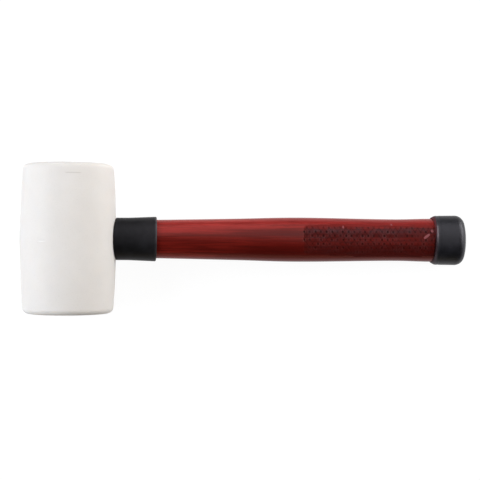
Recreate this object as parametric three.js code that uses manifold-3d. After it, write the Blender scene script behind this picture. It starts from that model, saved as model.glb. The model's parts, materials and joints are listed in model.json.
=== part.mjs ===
// Rubber mallet: a white rubber head on an oval hickory handle, with a black rubber collar
// under the head and a black rubber cap on the butt. Millimetres, +Z up.
//
// The pieces are modelled on the tool's own axes: the head's centre is at zero, the head runs
// along Y between its two striking faces, and the handle runs along +X. The assembled tool is
// then laid on its side, so that the head's barrel and the end cap both touch the ground.

import * as THREE from 'three';
import { mergeVertices } from 'three/addons/utils/BufferGeometryUtils.js';
import Module from 'manifold-3d';

// Room left between two pieces that meet
const clearance = 0.3;

// Head: a barrel of solid rubber with rounded striking edges
const headLength = 115;
const headWaistRadius = 36.5;
const headEndRadius = 34.9;
const headEdgeRadius = 4.5;
const waistBandWidth = 24;

// The rubber bulges a little over the end of the handle's tongue
const bulgeHeight = 0.7;
const bulgeHalfLength = 23;
const bulgeHalfDepth = 17;

// Handle: distances from the head's axis, and heights across the broad side
const eyeFloor = 6;
const tongueEndHeight = 25.4;
const mouthHeight = 28.8;
const shoulderHeight = 29.9;
const throatReach = 127;
const throatHeight = 32.3;
const swellReach = 179;
const swellHeight = 34.7;
const gripReach = 256;
const gripHeight = 32.85;
const buttHeight = 34.1;
const buttEdgeRadius = 6;
const tongueEdgeRadius = 1.5;

// The handle's section is a flattened oval
const ovalRatio = 0.67;
const ovalPower = 2.3;

// Collar: a sleeve that hides the joint of head and handle
const collarLength = 30.6;
const collarHeadHeight = 33;
const collarRimHeight = 34.7;
const collarStraight = 9;
const collarEdgeRadius = 0.9;

// End cap: a cup pushed over the butt, with a rounded lip and a domed end
const capTip = 312.8;
const capLength = 28;
const capMouthWall = 0.5;
const capLipLength = 3.3;
const capLipHeight = 38.9;
const capHeight = 39.3;
const capEdgeRadius = 7.5;
const capEndSlope = THREE.MathUtils.degToRad(16);
const capEndWall = 5;

// Retaining nail: driven square to the barrel into the tongue, and closed over by the rubber
const nailReach = -21;
const nailOffset = -2.2;
const nailLength = 42;
const nailRadius = 1.5;
const nailHeadRadius = 3;
const nailHeadThickness = 1.2;
const nailPointLength = 5;
const nailCover = 2;

// Facets
const headSides = 48;
const ovalSides = 40;
const nailSides = 12;
const barrelSteps = 5;
const edgeSteps = 5;
const handleStep = 13;

// Places that follow from the sizes above
const collarRim = headWaistRadius + collarLength;
const tongueEnd = eyeFloor - headWaistRadius;
const capMouth = capTip - capLength;
const buttEnd = capTip - capEndWall;
const capFilletAngle = Math.PI / 2 - capEndSlope;
const capDomeHalfHeight = capHeight / 2 - capEdgeRadius * (1 - Math.cos(capFilletAngle));
const capDomeHeight = capDomeHalfHeight * Math.tan(capEndSlope) / 2;
const capWidest = capTip - capDomeHeight - capEdgeRadius * Math.sin(capFilletAngle);

const wasm = await Module();
wasm.setup();

// A closed mesh becomes a solid for cutting
function solid(geometry) {
  const bare = geometry.clone();
  bare.deleteAttribute('normal');
  bare.deleteAttribute('uv');
  const merged = mergeVertices(bare, 1e-4);
  return new wasm.Manifold(new wasm.Mesh({
    numProp: 3,
    vertProperties: Float32Array.from(merged.attributes.position.array),
    triVerts: Uint32Array.from(merged.index.array),
  }));
}

// A cut solid becomes a mesh again
function geometryOf(manifold) {
  const { numProp, vertProperties, triVerts } = manifold.getMesh();
  const geometry = new THREE.BufferGeometry();
  geometry.setAttribute('position', new THREE.BufferAttribute(vertProperties, numProp));
  geometry.setIndex(Array.from(triVerts));
  geometry.computeVertexNormals();
  return geometry;
}

// One oval section of a handle piece, square to X
function oval(x, halfHeight, halfThickness) {
  return { x, halfHeight, halfThickness };
}

// A closed skin over oval sections in order of x. Its flats, not its corners, have the sizes.
function loft(sections) {
  const roundness = 2 / ovalPower;
  const bend = (value) => Math.sign(value) * Math.abs(value) ** roundness;
  const grow = 1 / Math.cos(Math.PI / ovalSides) ** roundness;
  const places = [];
  const triangles = [];
  for (const { x, halfHeight, halfThickness } of sections) {
    for (let i = 0; i < ovalSides; i++) {
      const angle = (i + 0.5) * 2 * Math.PI / ovalSides;
      const y = halfHeight * grow * bend(Math.cos(angle));
      const z = halfThickness * grow * bend(Math.sin(angle));
      places.push(x, y, z);
    }
  }
  for (let ring = 0; ring < sections.length - 1; ring++) {
    for (let i = 0; i < ovalSides; i++) {
      const here = ring * ovalSides + i;
      const beside = ring * ovalSides + (i + 1) % ovalSides;
      triangles.push(here, beside, here + ovalSides);
      triangles.push(beside, beside + ovalSides, here + ovalSides);
    }
  }
  const lastRing = (sections.length - 1) * ovalSides;
  const firstCentre = places.length / 3;
  places.push(sections[0].x, 0, 0);
  places.push(sections.at(-1).x, 0, 0);
  for (let i = 0; i < ovalSides; i++) {
    const next = (i + 1) % ovalSides;
    triangles.push(firstCentre, next, i);
    triangles.push(firstCentre + 1, lastRing + i, lastRing + next);
  }
  const geometry = new THREE.BufferGeometry();
  geometry.setAttribute('position', new THREE.Float32BufferAttribute(places, 3));
  geometry.setIndex(triangles);
  return geometry;
}

// Half profile of the head, from the centre of one face to the centre of the other
function barrelProfile(grow) {
  const radius = headEdgeRadius + grow;
  const arcCentre = headLength / 2 - headEdgeRadius;
  const arcRadial = headEndRadius - headEdgeRadius;
  const half = [new THREE.Vector2(0, headLength / 2 + grow)];
  for (let i = 0; i <= edgeSteps; i++) {
    const angle = Math.PI / 2 * (1 - i / edgeSteps);
    const out = arcRadial + radius * Math.cos(angle);
    half.push(new THREE.Vector2(out, arcCentre + radius * Math.sin(angle)));
  }
  const curved = arcCentre - waistBandWidth / 2;
  for (let i = 1; i <= barrelSteps; i++) {
    const left = 1 - i / barrelSteps;
    const drop = (headWaistRadius - headEndRadius) * left ** 2;
    half.push(new THREE.Vector2(headWaistRadius + grow - drop, waistBandWidth / 2 + curved * left));
  }
  const mirrored = half.map((point) => new THREE.Vector2(point.x, -point.y));
  return mirrored.concat(half.reverse());
}

// The head's outside. One of its flats faces the ground once the tool lies on its side.
function barrel(grow) {
  const flats = 1 / Math.cos(Math.PI / headSides);
  const profile = barrelProfile(grow).map((point) => new THREE.Vector2(point.x * flats, point.y));
  const start = Math.PI / headSides - restTilt();
  const geometry = new THREE.LatheGeometry(profile, headSides, start, 2 * Math.PI);
  const place = geometry.attributes.position;
  for (let i = 0; i < place.count; i++) {
    const across = (place.getY(i) / bulgeHalfLength) ** 2 + (place.getZ(i) / bulgeHalfDepth) ** 2;
    if (place.getX(i) < 0 && across < 1) {
      place.setX(i, place.getX(i) - bulgeHeight * (1 - across) ** 2);
    }
  }
  return solid(geometry);
}

// The handle's height at x: a smooth curve through its stations, level at each crest
function handleHeight(x) {
  const stations = [
    [tongueEnd, tongueEndHeight],
    [headWaistRadius, mouthHeight],
    [collarRim, shoulderHeight],
    [throatReach, throatHeight],
    [swellReach, swellHeight],
    [gripReach, gripHeight],
    [capMouth, buttHeight],
    [buttEnd, buttHeight],
  ];
  const rise = (i) => (stations[i + 1][1] - stations[i][1]) / (stations[i + 1][0] - stations[i][0]);
  const slope = (i) => {
    if (i === 0) return rise(0);
    if (i === stations.length - 1) return 0;
    const before = rise(i - 1);
    const after = rise(i);
    return before * after > 0 ? 2 * before * after / (before + after) : 0;
  };
  const span = stations.length - 2;
  const at = Math.max(0, Math.min(span, stations.findIndex((station) => station[0] > x) - 1));
  const [x0, y0] = stations[at];
  const [x1, y1] = stations[at + 1];
  const t = (x - x0) / (x1 - x0);
  const level = y0 * (1 + 2 * t) * (1 - t) ** 2 + y1 * t ** 2 * (3 - 2 * t);
  const lean = slope(at) * t * (1 - t) ** 2 + slope(at + 1) * t ** 2 * (t - 1);
  return level + lean * (x1 - x0);
}

// Rings of a rounded end. The arc turns from the side towards the end face.
function roundedEnd(section, radius, grow, towards, sweep) {
  const rings = [];
  for (let i = 0; i <= edgeSteps; i++) {
    const angle = sweep * i / edgeSteps;
    const inset = (radius + grow) * Math.cos(angle) - radius;
    const x = section.x + towards * (radius + grow) * Math.sin(angle);
    rings.push(oval(x, section.halfHeight + inset, section.halfThickness + inset));
  }
  return rings;
}

// The handle from the end of its tongue to its butt, or the room that it needs
function handleLoft(grow) {
  const sectionAt = (x) => {
    const halfHeight = handleHeight(x) / 2;
    return oval(x, halfHeight, halfHeight * ovalRatio);
  };
  const start = tongueEnd + tongueEdgeRadius;
  const end = buttEnd - buttEdgeRadius;
  const steps = Math.round((end - start) / handleStep);
  const sections = roundedEnd(sectionAt(start), tongueEdgeRadius, grow, -1, Math.PI / 2).reverse();
  for (let i = 1; i < steps; i++) {
    const section = sectionAt(start + (end - start) * i / steps);
    sections.push(oval(section.x, section.halfHeight + grow, section.halfThickness + grow));
  }
  sections.push(...roundedEnd(sectionAt(end), buttEdgeRadius, grow, 1, Math.PI / 2));
  return solid(loft(sections));
}

// A section round the handle, thicker than it all the way round by one wall
function around(x, height) {
  const halfHandle = handleHeight(Math.min(x, buttEnd)) / 2;
  const wall = height / 2 - halfHandle;
  return oval(x, height / 2, halfHandle * ovalRatio + wall);
}

// The nail's outline about its own axis, with its point at zero, or the room that it needs
function nailSolid(grow) {
  const top = nailLength + grow;
  const profile = [
    new THREE.Vector2(0, -grow),
    new THREE.Vector2(nailRadius + grow, nailPointLength),
    new THREE.Vector2(nailRadius + grow, nailLength - nailHeadThickness - grow),
    new THREE.Vector2(nailHeadRadius + grow, nailLength - nailHeadThickness - grow),
    new THREE.Vector2(nailHeadRadius + grow, top),
    new THREE.Vector2(0, top),
  ];
  const geometry = new THREE.LatheGeometry(profile, nailSides);
  geometry.rotateX(Math.PI / 2);
  geometry.translate(0, nailOffset, headWaistRadius - nailCover - nailLength);
  geometry.rotateY(Math.asin(nailReach / headWaistRadius));
  return solid(geometry);
}

// The tool lies with its handle sloping down from the thick head to the slimmer cap
function restTilt() {
  const halfThickness = around(capWidest, capHeight).halfThickness;
  const reach = Math.hypot(capWidest, halfThickness);
  return Math.asin(headWaistRadius / reach) - Math.atan2(halfThickness, capWidest);
}

function makeHead() {
  return barrel(0).subtract(handleLoft(clearance)).subtract(nailSolid(clearance));
}

function makeHandle() {
  return handleLoft(0).subtract(nailSolid(clearance));
}

function makeCollar() {
  const inside = headWaistRadius - headEdgeRadius;
  const straightEnd = headWaistRadius + collarStraight;
  const sections = [
    around(inside, collarHeadHeight),
    around(headWaistRadius, collarHeadHeight),
    around(straightEnd, collarHeadHeight),
  ];
  const rim = around(collarRim - collarEdgeRadius, collarRimHeight);
  sections.push(...roundedEnd(rim, collarEdgeRadius, 0, 1, Math.PI / 2));
  return solid(loft(sections)).subtract(handleLoft(clearance)).subtract(barrel(clearance));
}

function makeEndCap() {
  const mouthHalf = handleHeight(capMouth) / 2 + clearance + capMouthWall;
  const lipRise = capLipHeight / 2 - mouthHalf;
  const sections = [];
  for (let i = 0; i < edgeSteps; i++) {
    const angle = Math.PI / 2 * i / edgeSteps;
    const x = capMouth + capLipLength * (1 - Math.cos(angle));
    sections.push(around(x, 2 * (mouthHalf + lipRise * Math.sin(angle))));
  }
  sections.push(around(capMouth + capLipLength, capLipHeight));
  const widest = around(capWidest, capHeight);
  const fillet = roundedEnd(widest, capEdgeRadius, 0, 1, capFilletAngle);
  sections.push(...fillet);
  const edge = fillet.at(-1);
  for (const share of [0.75, 0.5, 0.25]) {
    const x = edge.x + capDomeHeight * (1 - share ** 2);
    sections.push(oval(x, edge.halfHeight * share, edge.halfThickness * share));
  }
  return solid(loft(sections)).subtract(handleLoft(clearance));
}

function makeNail() {
  return nailSolid(0);
}

const whiteRubber = new THREE.MeshStandardMaterial({ color: 0xe6e3de, roughness: 0.8 });
const blackRubber = new THREE.MeshStandardMaterial({ color: 0x242426, roughness: 0.6 });
const redHickory = new THREE.MeshStandardMaterial({ color: 0x7a241e, roughness: 0.35 });
const nailSteel = new THREE.MeshStandardMaterial({ color: 0x9a9da0, roughness: 0.4, metalness: 1 });

const pieces = [
  ['head', makeHead, whiteRubber],
  ['handle', makeHandle, redHickory],
  ['collar', makeCollar, blackRubber],
  ['end_cap', makeEndCap, blackRubber],
  ['retaining_nail', makeNail, nailSteel],
];

const tool = new THREE.Group();
for (const [name, make, material] of pieces) {
  const mesh = new THREE.Mesh(geometryOf(make()), material);
  mesh.name = name;
  tool.add(mesh);
}
tool.rotation.y = restTilt();

// The origin is under the middle of the lying tool, on the ground
const mallet = new THREE.Group();
mallet.add(tool);
mallet.updateMatrixWorld(true);
const box = new THREE.Box3().setFromObject(mallet, true);
const middle = box.getCenter(new THREE.Vector3());
tool.position.set(-middle.x, -middle.y, -box.min.z);

export default mallet;
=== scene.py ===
# %% [markdown]
# # A rubber mallet and its finishes
#
# The tool is a white rubber head on an oval hickory handle, with a black rubber collar under
# the head and a black rubber cap on the butt. It lies on its side on a white table, and the
# camera looks straight down at it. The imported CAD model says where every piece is. This lesson
# makes finer pieces in the same places, and works each finish out from what the real one is.

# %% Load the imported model
import json
import math

import bpy
import numpy as np
from mathutils import Matrix, Vector


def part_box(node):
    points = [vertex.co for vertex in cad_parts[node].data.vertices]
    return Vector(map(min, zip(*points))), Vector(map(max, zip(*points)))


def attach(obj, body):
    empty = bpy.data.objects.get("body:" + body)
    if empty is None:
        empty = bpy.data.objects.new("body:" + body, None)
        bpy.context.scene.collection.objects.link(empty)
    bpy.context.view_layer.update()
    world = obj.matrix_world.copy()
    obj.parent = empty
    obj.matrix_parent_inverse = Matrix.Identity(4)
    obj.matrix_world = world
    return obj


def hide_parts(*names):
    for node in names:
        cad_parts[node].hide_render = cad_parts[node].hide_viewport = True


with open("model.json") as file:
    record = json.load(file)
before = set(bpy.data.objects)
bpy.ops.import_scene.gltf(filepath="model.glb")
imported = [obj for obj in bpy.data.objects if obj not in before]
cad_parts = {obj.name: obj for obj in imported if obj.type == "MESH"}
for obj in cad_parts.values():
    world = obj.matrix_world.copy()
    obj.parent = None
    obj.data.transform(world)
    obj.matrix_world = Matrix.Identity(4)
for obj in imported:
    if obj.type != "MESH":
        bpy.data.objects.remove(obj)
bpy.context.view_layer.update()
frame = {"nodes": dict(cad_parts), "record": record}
print("packed model:", sorted(frame["nodes"]))

# %% [markdown]
# ## The tool's own axes
#
# The lying tool slopes down from the thick head to the slimmer cap. Its pieces could be drawn in
# that slope, but then no size would be one that a maker knows. So they are drawn on the tool's
# own axes, in millimetres: the middle of the head at zero, the head along Y and the handle along
# +X. One matrix at the end lays every piece down. The head's radius and length are read from the
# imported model.

# %% The head's place and size
MM = 0.001

head_low, head_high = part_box("head")
waist_radius = (head_high.z - head_low.z) / 2 / MM
head_length = (head_high.y - head_low.y) / MM
striking_faces = [Vector(mount["pos_m"]) for mount in frame["record"]["mounts"]]
head_centre = (striking_faces[0] + striking_faces[1]) / 2
print(f"head: {head_length:.1f} mm long, {2 * waist_radius:.1f} mm thick")

# %% [markdown]
# ## The handle's outline
#
# A turned and sanded hickory handle is slim where it enters the head, thickens to a swell above
# the grip and thins a little under the hand. Its outline could be a Bezier curve drawn by eye. A
# few stations are better here, because each is a height that a caliper can measure, and a smooth
# curve that never overshoots joins them. All other pieces fit over this one with one clearance.

# %% Stations along the handle
CLEARANCE = 0.3
EYE_FLOOR = 6
COLLAR_LENGTH = 30.6
CAP_MOUTH = 284.8
BUTT_END = 307.8

tongue_end = EYE_FLOOR - waist_radius
collar_rim = waist_radius + COLLAR_LENGTH
# Distance from the head's axis, and the height of the handle there.
stations = np.array([
    [tongue_end, 25.4],
    [waist_radius, 28.8],
    [collar_rim, 29.9],
    [127, 32.3],
    [179, 34.7],
    [256, 32.85],
    [CAP_MOUTH, 34.1],
    [BUTT_END, 34.1],
])
print(f"{len(stations)} stations from {tongue_end:.1f} to {BUTT_END} mm")


# %% The handle's height anywhere
def slopes(points):
    """The lean at each station: level at a crest, and gentle between two rises."""
    rise = np.diff(points[:, 1]) / np.diff(points[:, 0])
    same_way = rise[:-1] * rise[1:] > 0
    both = np.where(same_way, rise[:-1] + rise[1:], 1)
    inner = np.where(same_way, 2 * rise[:-1] * rise[1:] / both, 0)
    return np.concatenate([[rise[0]], inner, [0]])


lean = slopes(stations)


def handle_height(x):
    """The handle's height in millimetres at x from the head's axis."""
    x = np.clip(np.asarray(x, float), tongue_end, BUTT_END)
    at = np.clip(np.searchsorted(stations[:, 0], x, side="right") - 1, 0, len(stations) - 2)
    x0, y0 = stations[at].T
    x1, y1 = stations[at + 1].T
    t = (x - x0) / (x1 - x0)
    level = y0 * (1 + 2 * t) * (1 - t) ** 2 + y1 * t ** 2 * (3 - 2 * t)
    return level + (x1 - x0) * (lean[at] * t * (1 - t) ** 2 + lean[at + 1] * t ** 2 * (t - 1))


print("handle at the swell and the grip:", handle_height([179, 256]).round(2), "mm")

# %% [markdown]
# ## The oval section
#
# A mallet handle isn't round: its section is a flattened oval that tells the hand which way the
# head points. A circle squeezed flat would be too sharp at the sides, so a superellipse gives
# it, a little squarer than an ellipse. Pieces that fit over the handle have the same oval with
# one wall thickness all round.

# %% Oval sections
OVAL_RATIO = 0.67
OVAL_POWER = 2.3


def oval(x, half_height, half_thickness, angles):
    """One ring of points round the X axis, counterclockwise seen from +X."""
    bend = 2 / OVAL_POWER
    y = np.sign(np.cos(angles)) * np.abs(np.cos(angles)) ** bend
    z = np.sign(np.sin(angles)) * np.abs(np.sin(angles)) ** bend
    return np.stack([np.full_like(y, x), half_height * y, half_thickness * z], axis=1)


def around(x, height):
    """Half height and half thickness of a sleeve of that height with an even wall."""
    half_handle = handle_height(x) / 2
    return height / 2, half_handle * OVAL_RATIO + height / 2 - half_handle


def even_angles(count):
    """Angles for a ring, with none of them exactly on an axis."""
    return (np.arange(count) + 0.5) * 2 * math.pi / count


swell = oval(0, *around(179, handle_height(179)), even_angles(120))
print("oval at the swell:", (2 * swell.max(axis=0)[1:]).round(1), "mm")

# %% [markdown]
# ## Laying the tool down
#
# The barrel of the head and the widest part of the cap both touch the table. The tilt could be
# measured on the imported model, but the sizes of the two pieces give it exactly, and the model
# only has to confirm it: the cap's node starts at the height of the table.

# %% The tool's tilt
CAP_TIP = 312.8
CAP_HEIGHT = 39.3
CAP_EDGE_RADIUS = 7.5
CAP_END_SLOPE = math.radians(16)

cap_turn = math.pi / 2 - CAP_END_SLOPE
cap_dome_edge = CAP_HEIGHT / 2 - CAP_EDGE_RADIUS * (1 - math.cos(cap_turn))
cap_dome_height = cap_dome_edge * math.tan(CAP_END_SLOPE) / 2
cap_widest = CAP_TIP - cap_dome_height - CAP_EDGE_RADIUS * math.sin(cap_turn)

cap_half_thickness = around(cap_widest, CAP_HEIGHT)[1]
contact_reach = math.hypot(cap_widest, cap_half_thickness)
tilt = math.asin(waist_radius / contact_reach) - math.atan2(cap_half_thickness, cap_widest)
lay_down = Matrix.Translation(head_centre) @ Matrix.Rotation(tilt, 4, "Y")

# %% [markdown]
# ## From rings to a piece
#
# Every piece is a skin over rings of points. A cube or cylinder could be pushed into shape with
# modifiers, but rings from a formula put each point where a size says. Where the rings form a
# loop, as in a sleeve, the last one joins the first. Otherwise a fan of triangles closes each
# end. The points go from the tool's axes to the table's in one step, and normals turn smoothly
# except across a real edge.

# %% Skins over rings
def place_on_table(points):
    """Points in millimetres on the tool's axes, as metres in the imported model's frame."""
    turn = np.array(lay_down.to_3x3())
    return points * MM @ turn.T + np.array(lay_down.translation)


def skin(name, rings, loop=False):
    """A closed mesh over rings of points, all with the same number of sides."""
    count, sides = rings.shape[:2]
    here = np.arange(sides)
    beside = (here + 1) % sides
    quads = []
    for ring in range(count if loop else count - 1):
        low = ring * sides
        high = (ring + 1) % count * sides
        quads.append(np.stack([low + here, low + beside, high + beside, high + here], axis=1))
    points = rings.reshape(-1, 3)
    faces = np.concatenate(quads).tolist()
    if not loop:
        first, last = len(points), len(points) + 1
        top = (count - 1) * sides
        faces += [[first, j, i] for i, j in zip(here.tolist(), beside.tolist())]
        faces += [[last, top + i, top + j] for i, j in zip(here.tolist(), beside.tolist())]
        points = np.concatenate([points, rings[:1].mean(axis=1), rings[-1:].mean(axis=1)])
    mesh = bpy.data.meshes.new(name)
    mesh.from_pydata(place_on_table(points).tolist(), [], faces)
    mesh.update()
    piece = bpy.data.objects.new(name, mesh)
    bpy.context.scene.collection.objects.link(piece)
    return piece


print("middle of the head on the table:", place_on_table(np.zeros(3)).round(4), "m")

# %% [markdown]
# ## Where a ring needs its points
#
# The pressed grip needs a point every third of a millimetre, but only on the two broad sides
# and only along the grip. An even mesh that fine would have some 300,000 points, most of them on
# plain wood. So the lines along the handle and round it are unevenly spaced: close together
# where the pattern is and wide apart elsewhere.

# %% Lines round and along the handle
FINE = 0.32
SIDE_LINES = 20
GRIP_START = 182.4
GRIP_HALF_WIDTH = 11.2
GRIP_HALF_HEIGHT = 16.7

grip_end = CAP_MOUTH + 1.6


def handle_angles():
    """Angles whose points lie evenly across the pattern, then wide apart round the sides."""
    across = np.arange(GRIP_HALF_WIDTH, -GRIP_HALF_WIDTH - FINE / 2, -FINE)
    share = np.abs(across / GRIP_HALF_HEIGHT) ** (OVAL_POWER / 2)
    top = np.arccos(np.sign(across) * share)
    side = np.linspace(-top[0], top[0], SIDE_LINES)[1:-1]
    return np.concatenate([side, top, math.pi + side, math.pi + top])


def handle_reaches(step):
    """Places along the handle, one step apart but close together along the grip."""
    before = np.arange(tongue_end, GRIP_START - 2, step)
    grip = np.arange(GRIP_START - 2, grip_end, FINE)
    after = np.linspace(grip_end, BUTT_END, round((BUTT_END - grip_end) / step) + 1)
    return np.concatenate([before, grip, after])


print(len(handle_angles()), "lines round the handle,", len(handle_reaches(step=4)), "along it")

# %% [markdown]
# ## The handle blank
#
# The wooden part runs from the end of its tongue, deep in the head, to its rounded butt inside
# the cap. A section could be swept along a line, but this one changes all the way, so each ring
# is worked out at its own place. The same rings, grown by the clearance, give the room that the
# other pieces leave.

# %% Rings of the handle
BUTT_RADIUS = 6
TONGUE_RADIUS = 1.5
QUARTER = math.pi / 2


def rounded_end(x, halves, radius, angles, grow=0, towards=1, sweep=QUARTER, steps=6):
    """Rings of an arc that turns from the side of a piece towards its end face."""
    rings = []
    for step in range(steps + 1):
        angle = sweep * step / steps
        inset = (radius + grow) * math.cos(angle) - radius
        reach = x + towards * (radius + grow) * math.sin(angle)
        rings.append(oval(reach, halves[0] + inset, halves[1] + inset, angles))
    return rings


def handle_rings(grow, reaches, angles):
    """The handle's rings at these places, with both ends rounded."""
    start = tongue_end + TONGUE_RADIUS
    end = BUTT_END - BUTT_RADIUS
    tongue = np.array([1, OVAL_RATIO]) * handle_height(start) / 2
    butt = np.array([1, OVAL_RATIO]) * handle_height(end) / 2
    rings = rounded_end(start, tongue, TONGUE_RADIUS, angles, grow, towards=-1)[::-1]
    for x in reaches[(reaches > start) & (reaches < end)]:
        half = handle_height(x) / 2
        rings.append(oval(x, half + grow, half * OVAL_RATIO + grow, angles))
    rings += rounded_end(end, butt, BUTT_RADIUS, angles, grow)
    return np.array(rings)


print(f"handle: {BUTT_END - tongue_end:.1f} mm from tongue to butt")

# %% [markdown]
# ## The pressed grip
#
# Hot plates press a lattice into both broad sides of the grip so that a wet hand holds it. Each
# row of pits lies half a step off its neighbours, and thin grooves link the pits into lozenges.
# Bump in the finish could draw it, but an exported mesh would be smooth. So the distance to the
# nearest groove and the nearest pit gives a depth, and the points move inwards by it. Mesh
# attributes keep what the wood's finish needs: the char, a little wider than each groove and
# pit, the rim round each pit, which carries a painted reflection, the reach of the plates,
# flaked places and the painted shade where the wood enters the cap.

# %% The lattice of pits and grooves
PIT_STEP = 4.37
ROW_STEP = 3.13
ROWS_EACH_WAY = 3
PIT_DEPTH = 0.42
GROOVE_DEPTH = 0.13
# How far from the middle of a groove or pit its depth and its char have faded.
GROOVE_SPREAD = 0.26
GROOVE_CHAR_SPREAD = 0.36
PIT_SPREAD = (0.5, 0.75)
PIT_CHAR_SPREAD = (0.68, 0.88)
# The plates wear unevenly and their teeth are cut by hand, so each pit and groove has its own
# share of the depth, and each pit its own small slip along the row. Every row starts at another
# place in these lists.
plate_wear = np.random.default_rng(5).uniform(0.15, 1, 211)
plate_slip = np.random.default_rng(8).uniform(-0.35, 0.35, 197)


def lattice(x, y):
    """For x along the handle and y across it: how deep the pattern presses, in millimetres, how
    far each place is charred and how far it is a raised rim."""
    along = (x - GRIP_START) / (PIT_STEP / 2)
    across = y / ROW_STEP
    groove_gap = 1 / math.hypot(2 / PIT_STEP, 1 / ROW_STEP)
    depth = np.zeros_like(x)
    char = np.zeros_like(x)
    for line, other in ((along - across, along + across), (along + across, along - across)):
        groove = np.round(line / 2)
        uneven_share = plate_wear[(groove * 31 + np.floor(other / 2)).astype(int) % len(plate_wear)]
        off = np.abs(line - 2 * groove) * groove_gap
        depth = np.maximum(depth, GROOVE_DEPTH * uneven_share * np.exp(-(off / GROOVE_SPREAD) ** 2))
        char = np.maximum(char, 0.4 * uneven_share * np.exp(-(off / GROOVE_CHAR_SPREAD) ** 2))
    row = np.clip(np.round(across), -ROWS_EACH_WAY, ROWS_EACH_WAY)
    column = 2 * np.round((along - row % 2) / 2) + row % 2
    pit_x = (along - column) * PIT_STEP / 2
    pit_x -= plate_slip[(row * 5 + column).astype(int) % len(plate_slip)]
    pit_y = (across - row) * ROW_STEP
    pit = PIT_DEPTH * np.exp(-(pit_x / PIT_SPREAD[0]) ** 2 - (pit_y / PIT_SPREAD[1]) ** 2)
    uneven_share = plate_wear[(row * 7 + column).astype(int) % len(plate_wear)]
    press = uneven_share * (1 - 0.4 * (np.abs(row) == ROWS_EACH_WAY))
    off_pit = np.hypot(pit_x / PIT_CHAR_SPREAD[0], pit_y / PIT_CHAR_SPREAD[1])
    char = np.maximum(char, np.exp(-off_pit ** 2) * press)
    rim = np.exp(-((off_pit - 1.9) / 0.45) ** 2) * press
    return np.maximum(depth, pit * press), char, rim


print(2 * ROWS_EACH_WAY + 1, "rows of pits on each side, one pit every", PIT_STEP, "mm")

# %% Worn and filled places
# Lacquer pooled in the pattern here: place along and across in millimetres, and its radius.
LACQUER_POOL = (260.3, 1.4, 3.4)
# Flakes of lost lacquer on the upper side: place, half length, half width and lean in degrees.
FLAKES = [
    (213.2, 10.0, 0.5, 1.1, 0),
    (251.5, 11.9, 0.7, 0.5, 0),
    (283.4, 7.3, 1.0, 1.2, 20),
    (279.2, 3.1, 2.9, 1.0, 38),
]
LACQUER_THICKNESS = 0.1


def fade(value, low, high):
    """A smooth step from 0 at low to 1 at high."""
    t = np.clip((value - low) / (high - low), 0, 1)
    return t * t * (3 - 2 * t)


def filled(x, y):
    """How far pooled lacquer fills the pattern."""
    pool_x, pool_y, pool_radius = LACQUER_POOL
    return 0.85 * np.exp(-((x - pool_x) ** 2 + (y - pool_y) ** 2) / pool_radius ** 2)


def flaked(x, y):
    """Where the lacquer has flaked off: rounded patches, each with its own lean."""
    bare = np.zeros_like(x)
    for flake_x, flake_y, half_length, half_width, degrees in FLAKES:
        turn = math.radians(degrees)
        u = (x - flake_x) * math.cos(turn) + (y - flake_y) * math.sin(turn)
        v = (y - flake_y) * math.cos(turn) - (x - flake_x) * math.sin(turn)
        off = np.abs(u / half_length) ** 2.5 + np.abs(v / half_width) ** 2.5
        bare = np.maximum(bare, 1 - fade(off, 0.7, 1.3))
    return bare


print(len(FLAKES), "flakes, the longest", 2 * max(flake[2] for flake in FLAKES), "mm")

# %% Press the pattern into the rings
# The cap's mouth lies this much farther along for each millimetre above the middle plane.
MOUTH_CUT = 0.12


def press_grip(rings):
    """Press the pattern into the rings. Return what the wood's finish needs from it."""
    x, y, z = np.moveaxis(rings, 2, 0)
    above = z > 0
    # The pattern ends within a millimetre, and the singed wood round it fades out over a few.
    edge = (ROWS_EACH_WAY + 0.3) * ROW_STEP
    reach = fade(x, GRIP_START - 1.2, GRIP_START - 0.4) * (1 - fade(x, grip_end, grip_end + 1))
    reach *= 1 - fade(np.abs(y), edge, edge + 0.6)
    depth, char, rim = lattice(x, y)
    kept = reach * (1 - filled(x, y) * above)
    bare = flaked(x, y) * above
    widening = 1.6 * fade(x, GRIP_START, GRIP_START + 45)
    plate = fade(x, GRIP_START - 2, GRIP_START + 5)
    plate *= 1 - fade(np.abs(y) - widening, edge - 1, edge + 1.6)
    # Painted shade: a dark line on the wood's lower side just before the cap's mouth.
    before_cap = CAP_MOUTH + MOUTH_CUT * np.abs(z) - x
    cap_shade = (1 - fade(before_cap, 0.5, 1.2)) * (1 - fade(y, -1, 4))

    along_x = np.gradient(rings, axis=0)
    round_it = np.roll(rings, -1, axis=1) - np.roll(rings, 1, axis=1)
    normal = np.cross(round_it, along_x)
    normal /= np.maximum(np.linalg.norm(normal, axis=2, keepdims=True), 1e-9)
    sunk = kept * depth * (1 - bare) + LACQUER_THICKNESS * bare
    print(f"deepest pit: {sunk.max():.2f} mm")
    marks = {
        "charred": char * kept, "rim": rim * kept, "plate": plate, "bare": bare, "cap_shade": cap_shade,
    }
    return rings - normal * sunk[..., None], marks


# %% Make the handle
def mark(piece, label, values):
    """Keep one number for each point of the rings, for a finish to use later."""
    attribute = piece.data.attributes.new(label, "FLOAT", "POINT")
    padded = np.zeros(len(piece.data.vertices), np.float32)
    padded[:values.size] = values.ravel()
    attribute.data.foreach_set("value", padded)


rings = handle_rings(0, handle_reaches(step=4), handle_angles())
rings, marks = press_grip(rings)
handle = skin("handle_wood", rings)
for label, values in marks.items():
    mark(handle, label, values)
print("charred share of the handle:", round(float(marks["charred"].mean()), 3))

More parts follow.
